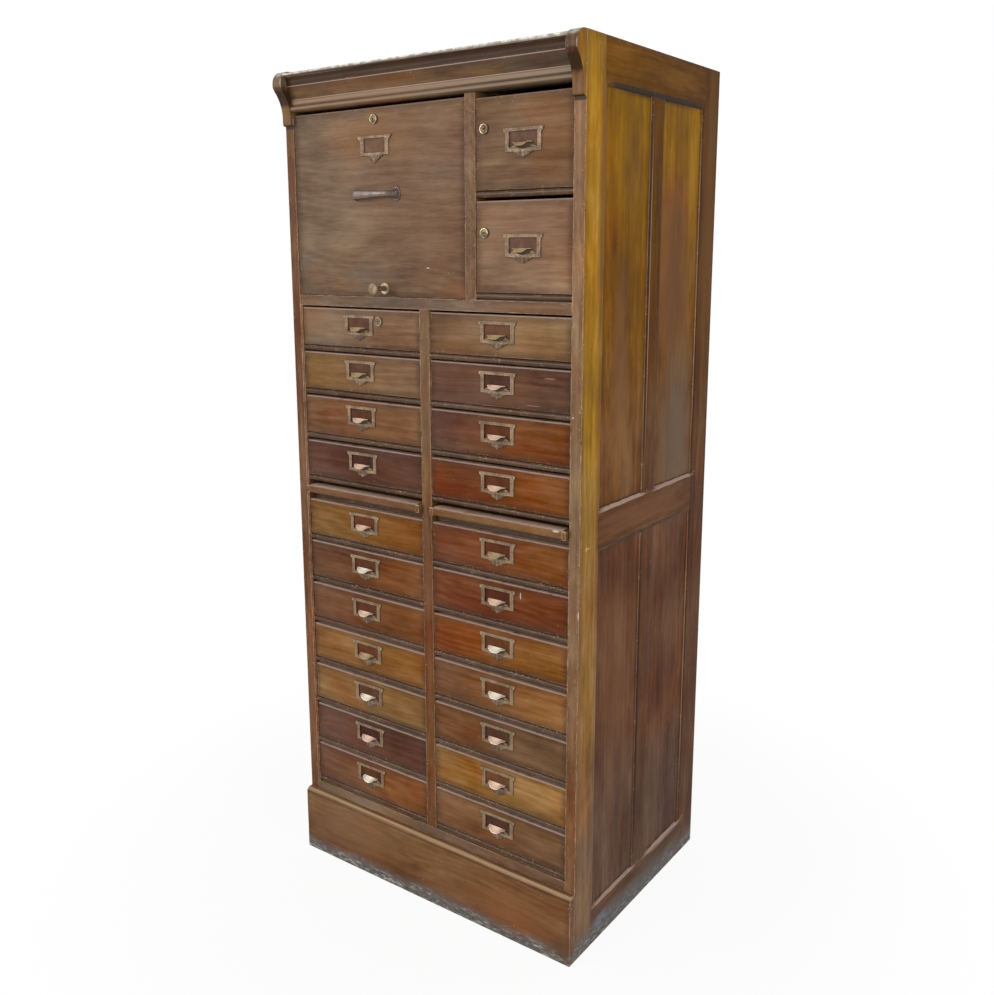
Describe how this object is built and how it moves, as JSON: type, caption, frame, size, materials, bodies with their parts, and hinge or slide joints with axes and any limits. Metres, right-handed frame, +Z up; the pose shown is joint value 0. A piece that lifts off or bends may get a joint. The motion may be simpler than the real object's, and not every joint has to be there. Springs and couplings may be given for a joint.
{
  "type": "archive cabinet",
  "caption": "Tall wooden archive cabinet with columns of shallow card drawers, writing slides, deeper lockable file drawers and a moulded cornice.",
  "frame": {"origin": "on the floor, in the middle of the space that the closed cabinet takes, handle and knob included", "axes": "+Z up, the front looks along -Y, +X to the right of someone facing the front"},
  "size_m": [0.76, 0.602, 1.834],
  "materials": {
    "case_wood": "worn satin varnish over a red-brown stain",
    "panel_wood": "worn satin varnish over a red-brown stain",
    "raw_wood": "unfinished, dusty",
    "front_wood": "worn satin varnish, each front of its own tone",
    "brass": "aged, dull",
    "lock_brass": "bright where keys rub",
    "handle_iron": "smooth grey casting",
    "bolt_steel": "bare steel"
  },
  "bodies": {
    "cabinet": {"left_side_frame": "case_wood", "right_side_frame": "case_wood", "side_panels": "panel_wood", "back_frame": "raw_wood", "back_panels": "raw_wood", "top_board": "case_wood", "cornice_moulding": "case_wood", "cornice_brackets": "case_wood", "plinth_board": "case_wood", "bottom_rail": "case_wood", "bottom_board": "raw_wood", "middle_rail": "case_wood", "middle_shelf": "raw_wood", "upper_divider": "case_wood", "lower_divider": "case_wood", "packing_strip": "case_wood", "lower_drawer_rails": "case_wood", "upper_drawer_rails": "case_wood", "drawer_runners": "raw_wood", "upper_runners": "raw_wood"},
    "file_drawer": {"file_drawer": "front_wood", "file_drawer_fittings": "brass", "file_drawer_handle": "handle_iron"},
    "file_drawer_guide_rod": {"file_drawer_guide_rod": "brass"},
    "upper_drawer": {"upper_drawer": "front_wood", "upper_drawer_fittings": "brass"},
    "middle_drawer": {"middle_drawer": "front_wood", "middle_drawer_fittings": "brass"},
    "left_writing_slide": {"left_writing_slide": "front_wood"},
    "right_writing_slide": {"right_writing_slide": "front_wood"},
    "left_drawer_1": {"left_drawer_1": "front_wood"},
    "right_drawer_1": {"right_drawer_1": "front_wood"},
    "left_drawer_2": {"left_drawer_2": "front_wood"},
    "right_drawer_2": {"right_drawer_2": "front_wood"},
    "left_drawer_3": {"left_drawer_3": "front_wood"},
    "right_drawer_3": {"right_drawer_3": "front_wood"},
    "left_drawer_4": {"left_drawer_4": "front_wood"},
    "right_drawer_4": {"right_drawer_4": "front_wood"},
    "left_drawer_5": {"left_drawer_5": "front_wood"},
    "right_drawer_5": {"right_drawer_5": "front_wood"},
    "left_drawer_6": {"left_drawer_6": "front_wood"},
    "right_drawer_6": {"right_drawer_6": "front_wood"},
    "left_drawer_7": {"left_drawer_7": "front_wood"},
    "right_drawer_7": {"right_drawer_7": "front_wood"},
    "left_drawer_8": {"left_drawer_8": "front_wood"},
    "right_drawer_8": {"right_drawer_8": "front_wood"},
    "left_drawer_9": {"left_drawer_9": "front_wood"},
    "right_drawer_9": {"right_drawer_9": "front_wood"},
    "left_drawer_10": {"left_drawer_10": "front_wood"},
    "right_drawer_10": {"right_drawer_10": "front_wood"},
    "left_drawer_11": {"left_drawer_11": "front_wood"},
    "right_drawer_11": {"right_drawer_11": "front_wood"},
    "file_drawer_lock_plug": {"file_drawer_lock_plug": "lock_brass"},
    "file_drawer_lock_bolt": {"file_drawer_lock_bolt": "bolt_steel"},
    "upper_drawer_lock_plug": {"upper_drawer_lock_plug": "lock_brass"},
    "upper_drawer_lock_bolt": {"upper_drawer_lock_bolt": "bolt_steel"},
    "middle_drawer_lock_plug": {"middle_drawer_lock_plug": "lock_brass"},
    "middle_drawer_lock_bolt": {"middle_drawer_lock_bolt": "bolt_steel"},
    "left_drawer_1_lock_plug": {"left_drawer_1_lock_plug": "lock_brass"},
    "left_drawer_1_lock_bolt": {"left_drawer_1_lock_bolt": "bolt_steel"}
  },
  "joints": [
    {"name": "file_drawer_slide", "type": "slide", "parent": "cabinet", "child": "file_drawer", "axis": [0, -1, 0], "range_m": [0, 0.4]},
    {"name": "file_drawer_rod_slide", "type": "slide", "parent": "file_drawer", "child": "file_drawer_guide_rod", "axis": [0, -1, 0], "range_m": [0, 0.4]},
    {"name": "upper_drawer_slide", "type": "slide", "parent": "cabinet", "child": "upper_drawer", "axis": [0, -1, 0], "range_m": [0, 0.4]},
    {"name": "middle_drawer_slide", "type": "slide", "parent": "cabinet", "child": "middle_drawer", "axis": [0, -1, 0], "range_m": [0, 0.4]},
    {"name": "left_writing_slide", "type": "slide", "parent": "cabinet", "child": "left_writing_slide", "axis": [0, -1, 0], "range_m": [0, 0.32]},
    {"name": "right_writing_slide", "type": "slide", "parent": "cabinet", "child": "right_writing_slide", "axis": [0, -1, 0], "range_m": [0, 0.32]},
    {"name": "file_drawer_key_turn", "type": "hinge", "parent": "file_drawer", "child": "file_drawer_lock_plug", "pos_m": [-0.12275, -0.259, 1.72], "axis": [0, -1, 0], "range_deg": [0, 90]},
    {"name": "upper_drawer_key_turn", "type": "hinge", "parent": "upper_drawer", "child": "upper_drawer_lock_plug", "pos_m": [0.1565, -0.259, 1.6815], "axis": [0, -1, 0], "range_deg": [0, 90]},
    {"name": "middle_drawer_key_turn", "type": "hinge", "parent": "middle_drawer", "child": "middle_drawer_lock_plug", "pos_m": [0.1565, -0.259, 1.489], "axis": [0, -1, 0], "range_deg": [0, 90]},
    {"name": "left_drawer_1_key_turn", "type": "hinge", "parent": "left_drawer_1", "child": "left_drawer_1_lock_plug", "pos_m": [-0.12275, -0.259, 1.309], "axis": [0, -1, 0], "range_deg": [0, 90]},
    {"name": "left_drawer_1_slide", "type": "slide", "parent": "cabinet", "child": "left_drawer_1", "axis": [0, -1, 0], "range_m": [0, 0.4]},
    {"name": "right_drawer_1_slide", "type": "slide", "parent": "cabinet", "child": "right_drawer_1", "axis": [0, -1, 0], "range_m": [0, 0.4]},
    {"name": "left_drawer_2_slide", "type": "slide", "parent": "cabinet", "child": "left_drawer_2", "axis": [0, -1, 0], "range_m": [0, 0.4]},
    {"name": "right_drawer_2_slide", "type": "slide", "parent": "cabinet", "child": "right_drawer_2", "axis": [0, -1, 0], "range_m": [0, 0.4]},
    {"name": "left_drawer_3_slide", "type": "slide", "parent": "cabinet", "child": "left_drawer_3", "axis": [0, -1, 0], "range_m": [0, 0.4]},
    {"name": "right_drawer_3_slide", "type": "slide", "parent": "cabinet", "child": "right_drawer_3", "axis": [0, -1, 0], "range_m": [0, 0.4]},
    {"name": "left_drawer_4_slide", "type": "slide", "parent": "cabinet", "child": "left_drawer_4", "axis": [0, -1, 0], "range_m": [0, 0.4]},
    {"name": "right_drawer_4_slide", "type": "slide", "parent": "cabinet", "child": "right_drawer_4", "axis": [0, -1, 0], "range_m": [0, 0.4]},
    {"name": "left_drawer_5_slide", "type": "slide", "parent": "cabinet", "child": "left_drawer_5", "axis": [0, -1, 0], "range_m": [0, 0.4]},
    {"name": "right_drawer_5_slide", "type": "slide", "parent": "cabinet", "child": "right_drawer_5", "axis": [0, -1, 0], "range_m": [0, 0.4]},
    {"name": "left_drawer_6_slide", "type": "slide", "parent": "cabinet", "child": "left_drawer_6", "axis": [0, -1, 0], "range_m": [0, 0.4]},
    {"name": "right_drawer_6_slide", "type": "slide", "parent": "cabinet", "child": "right_drawer_6", "axis": [0, -1, 0], "range_m": [0, 0.4]},
    {"name": "left_drawer_7_slide", "type": "slide", "parent": "cabinet", "child": "left_drawer_7", "axis": [0, -1, 0], "range_m": [0, 0.4]},
    {"name": "right_drawer_7_slide", "type": "slide", "parent": "cabinet", "child": "right_drawer_7", "axis": [0, -1, 0], "range_m": [0, 0.4]},
    {"name": "left_drawer_8_slide", "type": "slide", "parent": "cabinet", "child": "left_drawer_8", "axis": [0, -1, 0], "range_m": [0, 0.4]},
    {"name": "right_drawer_8_slide", "type": "slide", "parent": "cabinet", "child": "right_drawer_8", "axis": [0, -1, 0], "range_m": [0, 0.4]},
    {"name": "left_drawer_9_slide", "type": "slide", "parent": "cabinet", "child": "left_drawer_9", "axis": [0, -1, 0], "range_m": [0, 0.4]},
    {"name": "right_drawer_9_slide", "type": "slide", "parent": "cabinet", "child": "right_drawer_9", "axis": [0, -1, 0], "range_m": [0, 0.4]},
    {"name": "left_drawer_10_slide", "type": "slide", "parent": "cabinet", "child": "left_drawer_10", "axis": [0, -1, 0], "range_m": [0, 0.4]},
    {"name": "right_drawer_10_slide", "type": "slide", "parent": "cabinet", "child": "right_drawer_10", "axis": [0, -1, 0], "range_m": [0, 0.4]},
    {"name": "left_drawer_11_slide", "type": "slide", "parent": "cabinet", "child": "left_drawer_11", "axis": [0, -1, 0], "range_m": [0, 0.4]},
    {"name": "right_drawer_11_slide", "type": "slide", "parent": "cabinet", "child": "right_drawer_11", "axis": [0, -1, 0], "range_m": [0, 0.4]},
    {"name": "file_drawer_bolt_throw", "type": "slide", "parent": "file_drawer", "child": "file_drawer_lock_bolt", "axis": [0, 0, 1], "range_m": [0, 0.01]},
    {"name": "upper_drawer_bolt_throw", "type": "slide", "parent": "upper_drawer", "child": "upper_drawer_lock_bolt", "axis": [-1, 0, 0], "range_m": [0, 0.01]},
    {"name": "middle_drawer_bolt_throw", "type": "slide", "parent": "middle_drawer", "child": "middle_drawer_lock_bolt", "axis": [-1, 0, 0], "range_m": [0, 0.01]},
    {"name": "left_drawer_1_bolt_throw", "type": "slide", "parent": "left_drawer_1", "child": "left_drawer_1_lock_bolt", "axis": [0, 0, 1], "range_m": [0, 0.01]}
  ],
  "couplings": [
    {"joint": "file_drawer_bolt_throw", "follows": "file_drawer_key_turn", "m_per_rad": 0.0063662},
    {"joint": "upper_drawer_bolt_throw", "follows": "upper_drawer_key_turn", "m_per_rad": 0.0063662},
    {"joint": "middle_drawer_bolt_throw", "follows": "middle_drawer_key_turn", "m_per_rad": 0.0063662},
    {"joint": "left_drawer_1_bolt_throw", "follows": "left_drawer_1_key_turn", "m_per_rad": 0.0063662}
  ]
}
